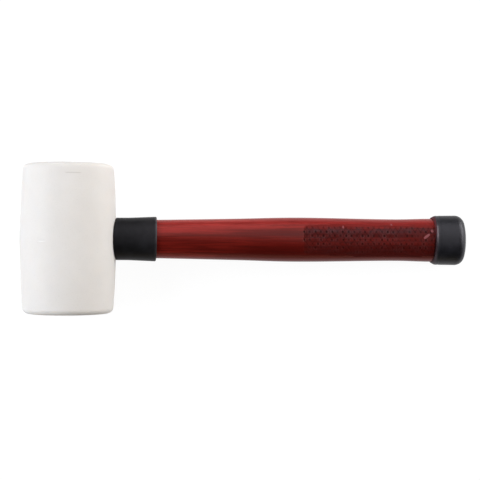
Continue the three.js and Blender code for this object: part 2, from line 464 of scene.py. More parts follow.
# %% [markdown]
# ## The head
#
# A mallet head is moulded in one piece from rubber filled with white pigment: a barrel that is
# widest at its middle, with two flat striking faces and softly rounded edges. It is a turned
# form, so its rings run round the head's own axis. The Screw modifier would turn a profile too,
# but it gives only round forms, and this one has two marks: over the end of the tongue the
# rubber bulges slightly, and where it has closed over the nail that holds the handle, a faint
# pucker shows with one fold in its middle.

# %% The head's profile
END_RADIUS = 34.9
EDGE_RADIUS = 4.5
WAIST_BAND = 24
# Rings across each flat face, then along the side, finer where the pucker lies.
FACE_RINGS = (4, 12, 20, 26, 29)
RING_STEP = 2
PUCKER_ZONE = 9
PUCKER_FINE = 0.35

half_length = head_length / 2
arc_centre = half_length - EDGE_RADIUS


def barrel_radius(y):
    """The barrel's radius at y from its middle, between the two rounded edges."""
    curved = arc_centre - WAIST_BAND / 2
    off = np.clip((np.abs(y) - WAIST_BAND / 2) / curved, 0, 1)
    return waist_radius - (waist_radius - END_RADIUS) * off ** 2


def head_profile():
    """Radius and place of each ring, from the middle of one face to the other."""
    faces = [(radius, half_length) for radius in FACE_RINGS]
    edge = [
        (END_RADIUS - EDGE_RADIUS * (1 - math.cos(turn)), arc_centre + EDGE_RADIUS * math.sin(turn))
        for turn in np.linspace(QUARTER, 0, 13)
    ]
    half = faces + edge
    side = np.concatenate([
        np.arange(arc_centre - RING_STEP, PUCKER_ZONE - 1, -RING_STEP),
        np.arange(PUCKER_ZONE - 1, -PUCKER_ZONE, -PUCKER_FINE),
        np.arange(-PUCKER_ZONE - 0.5, -arc_centre, -RING_STEP),
    ])
    body = [(float(barrel_radius(y)), y) for y in side]
    mirrored = [(radius, -y) for radius, y in reversed(half)]
    return np.array(half + body + mirrored)[::-1]


print(len(head_profile()), "rings from face to face")

# %% The nail's place and the lines round the head
NAIL_REACH = -21
NAIL_OFFSET = -2.2
PUCKER_REACH = -17.3
PUCKER_OFFSET = -2.4

nail_turn = math.asin(NAIL_REACH / waist_radius)
pucker_turn = math.asin(PUCKER_REACH / waist_radius)
half_zone = PUCKER_ZONE / waist_radius
away = np.linspace(pucker_turn + half_zone, pucker_turn - half_zone + 2 * math.pi, 150)
near = np.arange(-half_zone, half_zone, PUCKER_FINE / waist_radius)
head_turns = np.concatenate([away[:-1], pucker_turn + near])
print(len(head_turns), "lines round the head, nail at", round(math.degrees(nail_turn), 1), "degrees")


# %% Shape the head's surface
BULGE_HEIGHT = 0.7
BULGE_HALF_LENGTH = 23
BULGE_HALF_DEPTH = 17
PUCKER_STEP = 2.1
PUCKER_SPREAD = 3.6
PUCKER_HEIGHT = 0.06
FOLD_LENGTH = 2.2
FOLD_WIDTH = 0.55
FOLD_HEIGHT = 0.16


def head_rings():
    """Rings round the head's axis, with bulge and pucker pushed into them, and the fold."""
    profile = head_profile()
    radius = profile[:, :1]
    y = np.tile(profile[:, 1:], len(head_turns))
    off_turn = (head_turns - pucker_turn + math.pi) % (2 * math.pi) - math.pi
    off_round = off_turn * waist_radius
    off_along = y - PUCKER_OFFSET
    ripple = np.cos(2 * math.pi * off_along / PUCKER_STEP)
    patch = np.exp(-(off_round / PUCKER_SPREAD) ** 4 - (off_along / PUCKER_SPREAD) ** 4)
    fold = np.exp(-(off_round / FOLD_LENGTH) ** 2 - (off_along / FOLD_WIDTH) ** 2)
    pushed = radius + PUCKER_HEIGHT * ripple * patch + FOLD_HEIGHT * fold
    x = pushed * np.sin(head_turns)
    z = pushed * np.cos(head_turns)
    over = (y / BULGE_HALF_LENGTH) ** 2 + (z / BULGE_HALF_DEPTH) ** 2
    swollen = (x < 0) & (over < 1)
    x = x - np.where(swollen, BULGE_HEIGHT * (1 - over) ** 2, 0)
    return np.stack([x, y, z], axis=2), fold


rings, fold = head_rings()
head = skin("head_rubber", rings)
# The fold's place is kept for the finish, which paints a highlight on it.
mark(head, "fold_highlight", fold)
print("solid head:", len(head.data.vertices), "points")

# %% [markdown]
# ## The eye of the head
#
# The head is solid except for a blind pocket that takes the tongue, and the nail's hole. The two
# cross at an angle, so no set of rings could hold both. They are cut out with throwaway cutters,
# and the mesh is as hollow as the real head. The nail's hole goes on into the wood.

# %% A cut with a throwaway tool
def cut(piece, cutter):
    """Take the cutter's volume out of the piece, then throw the cutter away."""
    modifier = piece.modifiers.new("cut", "BOOLEAN")
    modifier.operation = "DIFFERENCE"
    modifier.solver = "MANIFOLD"
    modifier.object = cutter
    evaluated = piece.evaluated_get(bpy.context.evaluated_depsgraph_get())
    result = bpy.data.meshes.new_from_object(evaluated)
    result.materials.clear()
    print(f"{piece.name}: {len(piece.data.polygons)} faces, {len(result.polygons)} when cut")
    piece.modifiers.clear()
    piece.data = result
    bpy.data.objects.remove(cutter)


# %% Hand a piece over
SHARP = math.radians(38)


def hand_over(piece, node):
    """Round the normals except across sharp edges. The finished piece stands for its CAD node
    and rides with the tool."""
    piece.data.shade_smooth()
    piece.data.set_sharp_from_angle(angle=SHARP)
    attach(piece, "root")
    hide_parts(node)
    low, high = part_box(node)
    corners = np.array([vertex.co for vertex in piece.data.vertices])
    gap = np.abs(np.concatenate([corners.min(0) - low, corners.max(0) - high])).max() / MM
    print(f"{piece.name}: {len(corners)} points, box within {gap:.2f} mm of {node}")


# %% Cutters for the eye and the nail
NAIL_LENGTH = 42
NAIL_RADIUS = 1.5
NAIL_HEAD_RADIUS = 3
NAIL_HEAD_THICKNESS = 1.2
NAIL_POINT = 5
NAIL_COVER = 2


def nail_room():
    """The nail's room: a turned outline, moved and turned to where the nail was driven."""
    neck = NAIL_LENGTH - NAIL_HEAD_THICKNESS - CLEARANCE
    outline = [
        (0.02, -CLEARANCE),
        (NAIL_RADIUS + CLEARANCE, NAIL_POINT),
        (NAIL_RADIUS + CLEARANCE, neck),
        (NAIL_HEAD_RADIUS + CLEARANCE, neck),
        (NAIL_HEAD_RADIUS + CLEARANCE, NAIL_LENGTH + CLEARANCE),
    ]
    turns = even_angles(32)
    depth = waist_radius - NAIL_COVER - NAIL_LENGTH
    turn = np.array(Matrix.Rotation(nail_turn, 3, "Y"))
    made = []
    for radius, height in outline:
        ring = [radius * np.cos(turns), radius * np.sin(turns) + NAIL_OFFSET]
        ring.append(np.full_like(turns, height + depth))
        made.append(np.stack(ring, axis=1) @ turn.T)
    return np.array(made)


room_angles = even_angles(120)
room_reaches = np.arange(tongue_end, BUTT_END, 3)
cut(head, skin("eye_cutter", handle_rings(CLEARANCE, room_reaches, room_angles)))
cut(head, skin("nail_cutter", nail_room()))
cut(handle, skin("nail_cutter", nail_room()))
hand_over(head, "head")
hand_over(handle, "handle")

# %% [markdown]
# ## The collar
#
# A rubber sleeve hides the joint of wood and head. It is pushed up against the barrel, so its
# upper end is a saddle that follows the barrel's curve. A boolean cut would leave a knife edge
# there, so each point of the end rings is moved to its own distance from the barrel, and the
# edge stays rounded. The lower rim is slightly wider, not quite square to the handle, with a
# small rounded corner. Hands and pockets rub that corner paler, and a painted highlight on it is
# strongest at the upper edge, so its rings are marked for the finish. The outside is painted a
# little darker near the head, as painted shade. The sleeve is a loop of rings: up the outside,
# round the rim and back along the inside.

# %% The saddle against the barrel
COLLAR_HEAD_HEIGHT = 33
COLLAR_RIM_HEIGHT = 34.7
COLLAR_STRAIGHT = 9
COLLAR_EDGE = 0.9
SADDLE_EDGE = 0.45
RIM_REACH = 0.68
RIM_SLANT = 0.015
RIM_LEAN = 0.054

collar_angles = even_angles(200)


def touch_barrel(section, gap):
    """Move each point of a ring along X until it is a gap away from the barrel."""
    reach = (barrel_radius(section[:, 1]) + gap) ** 2 - section[:, 2] ** 2
    section[:, 0] = np.sqrt(reach)
    return section


def collar_height(x):
    """The collar's outer height: straight under the head, then flaring to the rim."""
    start = waist_radius + COLLAR_STRAIGHT
    flare = np.clip((x - start) / (collar_rim - COLLAR_EDGE - start), 0, 1)
    return COLLAR_HEAD_HEIGHT + (COLLAR_RIM_HEIGHT - COLLAR_HEAD_HEIGHT) * flare


def pull_rim(rings):
    """Stretch the sleeve a little, more at its upper side, as pushing it on left it."""
    share = np.clip((rings[..., 0] - waist_radius) / (collar_rim - waist_radius), 0, 1)
    pull = RIM_REACH + RIM_SLANT * rings[..., 1] + RIM_LEAN * rings[..., 2]
    rings[..., 0] += share * pull
    return rings


halves = around(waist_radius, COLLAR_HEAD_HEIGHT)
outer_start = touch_barrel(oval(0, *halves, collar_angles), CLEARANCE + SADDLE_EDGE)
print(f"saddle: {np.ptp(outer_start[:, 0]):.1f} mm deep")

# %% The collar's outside
saddle = []
for turn in np.linspace(0, QUARTER, 5)[:-1]:
    drop = SADDLE_EDGE * (1 - math.sin(turn))
    edge_ring = oval(0, halves[0] - drop, halves[1] - drop, collar_angles)
    saddle.append(touch_barrel(edge_ring, CLEARANCE + SADDLE_EDGE * (1 - math.cos(turn))))
outside = []
for share in np.linspace(0, 1, 40):
    straight_x = outer_start[:, 0] * (1 - share) + (collar_rim - COLLAR_EDGE) * share
    middle = float(straight_x.mean())
    section = oval(0, *around(middle, collar_height(middle)), collar_angles)
    section[:, 0] = straight_x
    outside.append(section)
rim_halves = around(collar_rim - COLLAR_EDGE, COLLAR_RIM_HEIGHT)
rim = rounded_end(collar_rim - COLLAR_EDGE, rim_halves, COLLAR_EDGE, collar_angles)
print(len(saddle), "rings round the saddle,", len(outside), "outside and", len(rim), "round the rim")

# %% The collar's inside, and the whole sleeve
inside = []
for x in np.linspace(collar_rim, waist_radius + 1, 16):
    half = handle_height(x) / 2
    inside.append(oval(x, half + CLEARANCE, half * OVAL_RATIO + CLEARANCE, collar_angles))
half = handle_height(waist_radius) / 2
inner_ring = oval(0, half + CLEARANCE, half * OVAL_RATIO + CLEARANCE, collar_angles)
inside.append(touch_barrel(inner_ring, CLEARANCE))
collar_rings = pull_rim(np.array(saddle + outside + rim[1:] + inside))
collar = skin("collar_sleeve", collar_rings, loop=True)
# Hands rub the rim's corner paler, and it carries a painted highlight, strongest at the upper
# edge. Along the outside the paler colour grows towards the rim, leaving painted shade near the head.
wear_and_highlight = np.zeros(collar_rings.shape[:2])
rim_start = len(saddle) + len(outside)
wear_and_highlight[len(saddle):rim_start] = 0.16 * np.linspace(0, 1, len(outside))[:, None] ** 2
wear_and_highlight[rim_start - 1:rim_start + 4] = 1
wear_and_highlight *= 0.25 + 0.75 * fade(collar_rings[..., 1], -5, 6)
mark(collar, "wear_and_highlight", wear_and_highlight)
hand_over(collar, "collar")

# %% [markdown]
# ## The end cap
#
# The cap is a moulded rubber cup, pushed over the butt. Its mouth flares in a chamfer, shorter
# over the broad sides, to a rounded corner. A faint groove sets that lip off from the body, and
# the far end is domed with a generous rounded edge. A bevelled cylinder with a Solidify modifier
# would be quicker, but its wall would be the same everywhere, and this one is thick at the end.
# So the rings start in the middle of the pocket's floor, run out along the inside, over the lip
# and along the outside to the tip. Red dust from the lacquer sits in the chamfer with a painted
# reflection of the red wood, and the corner is rubbed and carries a painted highlight.

# %% Outline of the cap
LIP_LENGTH = 3.3
LIP_HEIGHT = 38.9
LIP_ROUND = 0.7
MOUTH_WALL = 0.5
GROOVE_REACH = 5.4
GROOVE_WIDTH = 0.6
GROOVE_INSET = 0.12
LIP_CUT = -0.085

cap_angles = even_angles(200)


def cap_outside():
    """Rings from the mouth over the lip and along the body to the tip."""
    mouth_half = handle_height(CAP_MOUTH) / 2 + CLEARANCE + MOUTH_WALL
    lip_rise = LIP_HEIGHT / 2 - mouth_half
    lip_end = CAP_MOUTH + LIP_LENGTH
    slope = lip_rise / LIP_LENGTH
    made = []
    for share in (0, 0.04, 0.2, 0.4, 0.55):
        x = CAP_MOUTH + LIP_LENGTH * share
        made.append(oval(x, *around(x, 2 * (mouth_half + lip_rise * share)), cap_angles))
    for t in np.linspace(0, 1, 9):
        x = lip_end + LIP_ROUND * (2 * t - 1)
        half = LIP_HEIGHT / 2 - LIP_ROUND * slope * (1 - t) ** 2
        made.append(oval(x, *around(x, 2 * half), cap_angles))
    groove = CAP_MOUTH + GROOVE_REACH
    near_groove = np.linspace(lip_end + LIP_ROUND + 0.2, groove + 1.2, 12)
    body = np.concatenate([near_groove, np.linspace(groove + 2, cap_widest - 0.6, 14)])
    for x in body:
        flare = (x - lip_end) / (cap_widest - lip_end)
        inset = GROOVE_INSET * math.exp(-((x - groove) / GROOVE_WIDTH) ** 2)
        height = LIP_HEIGHT + (CAP_HEIGHT - LIP_HEIGHT) * flare - 2 * inset
        made.append(oval(x, *around(x, height), cap_angles))
    widest = around(cap_widest, CAP_HEIGHT)
    made += rounded_end(
        cap_widest, widest, CAP_EDGE_RADIUS, cap_angles, sweep=cap_turn, steps=16
    )
    edge_x = float(made[-1][0, 0])
    inset = CAP_EDGE_RADIUS * (1 - math.cos(cap_turn))
    for share in (0.9, 0.8, 0.68, 0.56, 0.44, 0.32, 0.2, 0.08):
        x = edge_x + cap_dome_height * (1 - share ** 2)
        made.append(oval(x, (widest[0] - inset) * share, (widest[1] - inset) * share, cap_angles))
    return made


print(len(cap_outside()), "rings outside")


# %% The cap's inside
def cap_inside():
    """Rings from the middle of the pocket's floor to the mouth."""
    room = handle_rings(CLEARANCE, np.linspace(CAP_MOUTH, BUTT_END, 7), cap_angles)
    floor_x = BUTT_END + CLEARANCE
    floor_halves = np.abs(room[-1][:, 1:]).max(axis=0)
    made = [oval(floor_x, *(floor_halves * share), cap_angles) for share in (0.3, 0.6, 0.85)]
    inner = [ring for ring in room if ring[0, 0] >= CAP_MOUTH]
    return made + inner[::-1]


pocket = cap_inside()
print(len(pocket), "rings inside")

# %% Marks on the cap, and the whole cup
cap_rings = np.array(pocket + cap_outside())
from_mouth = cap_rings[..., 0] - CAP_MOUTH
# The lip's corner is rubbed and carries a painted highlight, most of all above the middle, with a
# brighter painted glint just above the middle. Lacquer dust and a painted reflection of the red
# wood sit in the chamfer, more in its upper part where it is lit.
wear_and_highlight = np.exp(-((from_mouth - LIP_LENGTH - 0.15) / 0.65) ** 2)
wear_and_highlight[:len(pocket)] = 0
cap_y = cap_rings[..., 1]
wear_and_highlight *= 0.1 + 0.75 * fade(cap_y, -5, 5) * (1 - fade(cap_y, 10, 13))
wear_and_highlight += 0.7 * wear_and_highlight * np.exp(-((cap_y - 3.9) / 1.1) ** 2)
# Painted reflection: the red in the chamfer is partly lacquer dust and partly the red wood reflected
# there.
dust_and_wood_reflection = (1 - fade(from_mouth, LIP_LENGTH - 1.2, LIP_LENGTH - 0.5)) * (0.2 + 0.8 * fade(cap_y, 1, 8))
# The mouth is cut back over the broad sides, and the lip is pulled the other way.
cut_places = [0, LIP_LENGTH, LIP_LENGTH + 3.5]
cut_shares = np.interp(from_mouth, cut_places, [MOUTH_CUT, LIP_CUT, 0])
cap_rings[..., 0] += cut_shares * np.abs(cap_rings[..., 2])
end_cap = skin("end_cap_cup", cap_rings)
mark(end_cap, "wear_and_highlight", wear_and_highlight)
mark(end_cap, "dust_and_wood_reflection", dust_and_wood_reflection)
hand_over(end_cap, "end_cap")

# %% [markdown]
# ## Colours and nodes
#
# Colours are written as sRGB hex values, as a paint chart gives them, and one function turns
# them to the linear values that a renderer works with. Node trees could be drawn by hand in the
# shader editor, but in code they can be read, compared and changed like the shapes. One small
# function adds a node with its settings and links. Patterns are drawn in millimetres on the
# tool's own axes: a place divided by a size gives a pattern of that real size, and one that is
# much longer along X than along Y and Z is a grain that runs along the handle.

# %% A colour and a node in code
def linear(colour):
    """An sRGB hex colour as linear red, green, blue and full alpha."""
    parts = [int(colour[i:i + 2], 16) / 255 for i in (1, 3, 5)]
    return [c / 12.92 if c <= 0.04045 else ((c + 0.055) / 1.055) ** 2.4 for c in parts] + [1]


def add(tree, kind, inputs=(), **settings):
    """Add a node with its settings. Inputs come by name, or in the order in which the node shows
    them. A node gives its first output, a socket is linked, a hex colour is made linear and any
    other value is set as it is."""
    node = tree.nodes.new("ShaderNode" + kind)
    for name, value in settings.items():
        setattr(node, name, value)
    shown = [socket for socket in node.inputs if socket.enabled]
    named = {socket.name: socket for socket in shown}
    for key, value in inputs.items() if isinstance(inputs, dict) else enumerate(inputs):
        socket = named[key] if isinstance(key, str) else shown[key]
        if isinstance(value, bpy.types.Node):
            value = next(output for output in value.outputs if output.enabled)
        if isinstance(value, bpy.types.NodeSocket):
            tree.links.new(value, socket)
        elif isinstance(value, str):
            socket.default_value = linear(value)
        else:
            socket.default_value = value
    return node


def finish_named(name):
    """A new material with its node tree, and places on the tool in millimetres."""
    material = bpy.data.materials.new(name)
    material.use_nodes = True
    tree = material.node_tree
    tree.nodes.clear()
    where = add(tree, "TexCoord")
    place = add(tree, "Mapping", {
        "Vector": where.outputs["Object"],
        "Location": head_centre,
        "Rotation": (0, tilt, 0),
        "Scale": (MM, MM, MM),
    }, vector_type="TEXTURE")
    return material, tree, place


print("middle grey, linear:", round(linear("#808080")[0], 3))

# %% [markdown]
# ## Filled white rubber
#
# White rubber is natural rubber loaded with chalk and titanium white. Moulding leaves it matt
# and slightly waxy: light enters a few millimetres and softens the shading, and there is no
# clear reflection. A plain white colour would look like paint, so a faint warm mottle, fine
# specks and a little subsurface scattering go into it. Roughness is about 0.6, and the IOR of
# rubber is 1.52. Near one face the mould has left a short crease across the top, which is too
# fine for the mesh. It is drawn as a thin line in the bump, with painted shade darkening it. The
# pucker's middle fold is painted a little paler: a painted highlight.

# %% Mottle, specks and crease
MOTTLE_SIZE = 11
SPECK_SIZE = 0.9
CREASE_OFFSET = 49.2
CREASE_START = 0.5
CREASE_END = 11.5

white_rubber, tree, place = finish_named("filled_white_rubber")
mottle = add(tree, "TexNoise", {"Vector": place, "Scale": 1 / MOTTLE_SIZE, "Detail": 4})
mottle = add(tree, "MapRange", [mottle, 0.35, 0.65])
colour = add(tree, "Mix", [mottle, "#e4dfda", "#e2ddd8"], data_type="RGBA")
speck = add(tree, "TexNoise", {"Vector": place, "Scale": 1 / SPECK_SIZE})
specks = add(tree, "MapRange", [speck, 0.62, 0.75, 0, 0.35])
colour = add(tree, "Mix", [specks, colour, "#cfc9c1"], data_type="RGBA")

axes = add(tree, "SeparateXYZ", [place])
off_crease = add(tree, "Math", [axes.outputs["Y"], CREASE_OFFSET], operation="SUBTRACT")
off_crease = add(tree, "Math", [off_crease], operation="ABSOLUTE")
crease = add(tree, "MapRange", [off_crease, 0.15, 0.65, 1, 0], interpolation_type="SMOOTHSTEP")
for axis, low, high, start, end in (
    ("X", CREASE_START - 1, CREASE_START + 1, 0, 1),
    ("X", CREASE_END - 1, CREASE_END + 1, 1, 0),
    ("Z", 0, 1, 0, 1),
):
    share = add(tree, "MapRange", [axes.outputs[axis], low, high, start, end])
    crease = add(tree, "Math", [crease, share], operation="MULTIPLY")
# Painted shade: the crease is darkened in the colour as well as drawn in the bump.
crease_shade = add(tree, "Math", [crease, 0.35], operation="MULTIPLY")
colour = add(tree, "Mix", [crease_shade, colour, "#b5ada5"], data_type="RGBA")
# Painted highlight: the pucker's fold is painted paler where it would catch the light.
fold_highlight = add(tree, "Attribute", attribute_name="fold_highlight").outputs["Fac"]
fold_highlight = add(tree, "Math", [fold_highlight, 0.5], operation="MULTIPLY")
colour = add(tree, "Mix", [fold_highlight, colour, "#f4f1ee"], data_type="RGBA")
print(f"crease: {CREASE_END - CREASE_START} mm long, {half_length - CREASE_OFFSET:.1f} mm from the face")

# %% White rubber
WAVE_SIZE = 18
RUBBER_GRAIN = 0.5

waves = add(tree, "TexNoise", {"Vector": place, "Scale": 1 / WAVE_SIZE, "Detail": 1})
wavy = add(tree, "Bump", {"Height": waves, "Distance": 0.07 * MM})
creased = add(tree, "Bump", {"Height": crease, "Distance": -0.06 * MM, "Normal": wavy})
grain = add(tree, "TexNoise", {"Vector": place, "Scale": 1 / RUBBER_GRAIN})
grained = add(tree, "Bump", {"Height": grain, "Distance": 0.012 * MM, "Normal": creased})
shader = add(tree, "BsdfPrincipled", {
    "Base Color": colour,
    "Roughness": add(tree, "MapRange", [speck, 0, 1, 0.56, 0.68]),
    "IOR": 1.52,
    "Specular IOR Level": 0.35,
    "Subsurface Weight": 0.25,
    "Subsurface Radius": (1, 0.85, 0.7),
    "Subsurface Scale": 3 * MM,
    "Normal": grained,
})
add(tree, "OutputMaterial", {"Surface": shader})
head.data.materials.append(white_rubber)
print("white rubber:", len(tree.nodes), "nodes")

# %% [markdown]
# ## Stained hickory: the wood
#
# Hickory is pale sapwood beside darker heartwood, with long dark pores in rows. Stained red,
# the sapwood side is a bright brick red and the heartwood a deep maroon, darkest along the core.
# A ready wood texture would put its bands anywhere, so the border is a line across the handle
# here, which noise moves a little along the grain and which climbs towards the butt. A greyish
# mineral streak runs beside it from the middle of the handle on. Near the head, the upper edge is
# painted paler as a painted highlight, and the lower side paler as painted light from the table.

# %% Tones of the wood
# Places are in millimetres: along the handle from the head's axis, and across from its middle.
# The border and the core move from the first place near the head to the second at the grip.
SAPWOOD_BORDER = (3.6, 9.4)
HEARTWOOD_CORE = (-16, -3.5)
# The bands wander by up to 3 mm over patches of this size along, across and through the wood.
WANDER_SIZE = (70, 9, 9)


def stained_wood(tree, place, along, across):
    """The wood's colour with a painted highlight and painted light from below near the head, and
    how much of it is sapwood.
    """
    drawn_out = add(tree, "VectorMath", [place, WANDER_SIZE], operation="DIVIDE")
    drift = add(tree, "TexNoise", {"Vector": drawn_out, "Scale": 1})
    wander = add(tree, "MapRange", [drift, 0, 1, -3, 3])
    wander = add(tree, "Math", [across, wander], operation="ADD")
    border = [along, 75, 190, *SAPWOOD_BORDER]
    border = add(tree, "MapRange", border, interpolation_type="SMOOTHSTEP")
    softness = add(tree, "MapRange", [along, 75, 125, 1, 1.9])
    from_border = add(tree, "Math", [wander, border], operation="SUBTRACT")
    from_border = add(tree, "Math", [from_border, softness], operation="DIVIDE")
    sap = add(tree, "MapRange", [from_border, -2.2, 2.6], interpolation_type="SMOOTHSTEP")
    # Painted highlight: the upper edge of the handle near the head is painted paler.
    upper_highlight_end = add(tree, "MapRange", [along, 110, 180, 1, 0])
    upper_highlight = add(tree, "MapRange", [across, 8, 14])
    upper_highlight = add(tree, "Math", [upper_highlight, upper_highlight_end], operation="MULTIPLY")
    sapwood = add(tree, "Mix", [upper_highlight, "#8c2623", "#a0312c"], data_type="RGBA")

    core = [along, 75, 165, *HEARTWOOD_CORE]
    core = add(tree, "MapRange", core, interpolation_type="SMOOTHSTEP")
    from_core = add(tree, "Math", [wander, core], operation="SUBTRACT")
    shallow = add(tree, "MapRange", [from_core, -3.5, 3.5], interpolation_type="SMOOTHSTEP")
    heartwood = add(tree, "Mix", [shallow, "#460b07", "#5f150f"], data_type="RGBA")
    # Painted light: the lower side near the head is painted paler, as light from the table below falls
    # on it.
    near_head = add(tree, "MapRange", [along, 85, 140, 1, 0])
    lower_table_light = add(tree, "MapRange", [across, -5, -11, 0, 0.4])
    lower_table_light = add(tree, "Math", [lower_table_light, near_head], operation="MULTIPLY")
    heartwood = add(tree, "Mix", [lower_table_light, heartwood, "#90251f"], data_type="RGBA")
    wood = add(tree, "Mix", [sap, heartwood, sapwood], data_type="RGBA")
    streak = mineral_streak(tree, drift, along, across)
    return add(tree, "Mix", [streak, wood, "#240c0e"], data_type="RGBA"), sap


print("sapwood above", SAPWOOD_BORDER[0], "mm near the head and", SAPWOOD_BORDER[1], "mm at the grip")

# %% The mineral streak
STREAK_MIDDLE = (6, 4.8)
STREAK_FULL = 1.1
STREAK_GONE = 4.1


def mineral_streak(tree, drift, along, across):
    """How much of the wood's colour the streak takes: most just before the grip."""
    line = add(tree, "MapRange", [drift, 0, 1, -1, 1])
    line = add(tree, "Math", [across, line], operation="ADD")
    middle = add(tree, "MapRange", [along, 120, 180, *STREAK_MIDDLE])
    off_middle = add(tree, "Math", [line, middle], operation="SUBTRACT")
    off_middle = add(tree, "Math", [off_middle], operation="ABSOLUTE")
    streak = [off_middle, STREAK_FULL, STREAK_GONE, 1, 0]
    streak = add(tree, "MapRange", streak, interpolation_type="SMOOTHSTEP")
    for low, high, start, end in ((105, 165, 0, 0.96), (181, 187, 1, 0.6), (266, 278, 1, 0.4)):
        share = add(tree, "MapRange", [along, low, high, start, end])
        streak = add(tree, "Math", [streak, share], operation="MULTIPLY")
    return streak


print("mineral streak:", 2 * STREAK_GONE, "mm wide")

# %% [markdown]
# Growth rings and fibres draw fine dark lines, which show more on the heartwood. A wave texture
# would space them too evenly, so they are noise drawn out along the grain: rings 1.7 mm apart,
# fibres 1 mm and pores 0.4 mm. Real fibres are finer than that, but the picture couldn't show
# them.

# %% Growth rings, fibres and pores
RING_WIDTH = 1.7
FIBRE_WIDTH = 0.95
PORE_WIDTH = 0.42


def with_grain(tree, place, wood, sap):
    """The wood's colour with its lines, and the noises behind the rings and the pores."""
    # Length and width of the lines, the noise's settings, where they show, how much, and colour.
    strength = add(tree, "MapRange", [sap, 0, 1, 0.75, 0.3])
    layers = (
        (60, RING_WIDTH, {"Detail": 3, "Distortion": 0.4}, (0.46, 0.66), strength, "#330705"),
        (32, FIBRE_WIDTH, {"Detail": 2, "Distortion": 0.3}, (0.45, 0.65), strength, "#340806"),
        (9, PORE_WIDTH, {"Detail": 1}, (0.6, 0.72), 0.55, "#34100d"),
    )
    noises = []
    for length, width, kept, (low, high), most, tone in layers:
        drawn_out = add(tree, "VectorMath", [place, (length, width, width)], operation="DIVIDE")
        noises.append(add(tree, "TexNoise", {"Vector": drawn_out, "Scale": 1, **kept}))
        share = add(tree, "MapRange", [noises[-1], low, high, 0, most])
        wood = add(tree, "Mix", [share, wood, tone], data_type="RGBA")
    growth, _, pores = noises
    return wood, growth, pores


print(f"grain in millimetres: rings {RING_WIDTH}, fibres {FIBRE_WIDTH}, pores {PORE_WIDTH}")

# %% [markdown]
# ## Stained hickory: the grip
#
# The hot plates singed the wood under them to a greyish brown, mostly where they pressed
# hardest, above the middle, and charred the pits and grooves nearly black. The rims of the pits
# carry a painted reflection of the lacquer, paler towards the top, and flaked lacquer shows
# paler wood. Painted shade darkens the lower side of the wood in a black line where it enters
# the cap. An image could be painted for all this, but it would have to be kept with the file.
# The marks that the mesh carries put each of them where its shape is, and noise makes them
# uneven.

# %% Singed, scorched and flaked places
CARRIED_MARKS = ("plate", "charred", "rim", "bare", "cap_shade")
BURN_PATCH_SIZE = (6, 3, 3)


def with_burns(tree, place, across, wood):
    """The wood's colour with the marks of the plates and the flakes, a painted reflection on the
    pit rims and painted shade at the cap, and how scorched it is.
    """
    carried = {
        label: add(tree, "Attribute", attribute_name=label).outputs["Fac"]
        for label in CARRIED_MARKS
    }
    patches = add(tree, "VectorMath", [place, BURN_PATCH_SIZE], operation="DIVIDE")
    uneven = add(tree, "TexNoise", {"Vector": patches, "Scale": 1, "Detail": 4})
    singe = add(tree, "MapRange", [across, 4, 7, 0.25, 0.64], interpolation_type="SMOOTHSTEP")
    for value, low, high, start, end in (
        (across, -4, 0, 0.4, 1), (across, 7.8, 10.5, 1, 0.4), (uneven, 0.35, 0.65, 0.55, 1.45),
    ):
        share = add(tree, "MapRange", [value, low, high, start, end])
        singe = add(tree, "Math", [singe, share], operation="MULTIPLY")
    singe = add(tree, "Math", [singe, carried["plate"]], operation="MULTIPLY")
    wood = add(tree, "Mix", [singe, wood, "#33262a"], data_type="RGBA")

    # Painted reflection: the lacquer's sheen on the rims round the pits, paler towards the top.
    uneven_share = add(tree, "MapRange", [uneven, 0.4, 0.6, 0, 0.4])
    uneven_share = add(tree, "Math", [carried["rim"], uneven_share], operation="MULTIPLY")
    upper = add(tree, "MapRange", [across, -4, 2])
    rim_reflection = add(tree, "Mix", [upper, "#583634", "#704a49"], data_type="RGBA")
    wood = add(tree, "Mix", [uneven_share, wood, rim_reflection], data_type="RGBA")

    pressed = add(tree, "MapRange", [across, -6, -1, 0.8, 1])
    scorch = add(tree, "Math", [carried["charred"], pressed], operation="MULTIPLY")
    upper = add(tree, "MapRange", [across, -6, -1])
    burnt = add(tree, "Mix", [upper, "#1a0605", "#0e0b0a"], data_type="RGBA")
    # The last pair is painted shade: black on the wood's lower side where it enters the cap.
    for share, tone in (
        (scorch, burnt), (carried["bare"], "#865053"), (carried["cap_shade"], "#070304"),
    ):
        wood = add(tree, "Mix", [share, wood, tone], data_type="RGBA")
    return wood, scorch


print("marks that the handle carries:", ", ".join(CARRIED_MARKS))

# %% [markdown]
# ## Stained hickory: the gloss
#
# Where the lacquer is whole, the fibres under it shine in the stain's own colour over a wide
# angle, and it adds a narrow white reflection on top. Heat and hands have taken it from the
# grip. One finish can't have two coats, so the faces under the plates get a second, duller one
# over the same wood. Wood and lacquer both have an IOR of about 1.5. The roughness is about 0.5
# in the wood and 0.24 in the lacquer over it, and about 0.6 where the wood is singed.

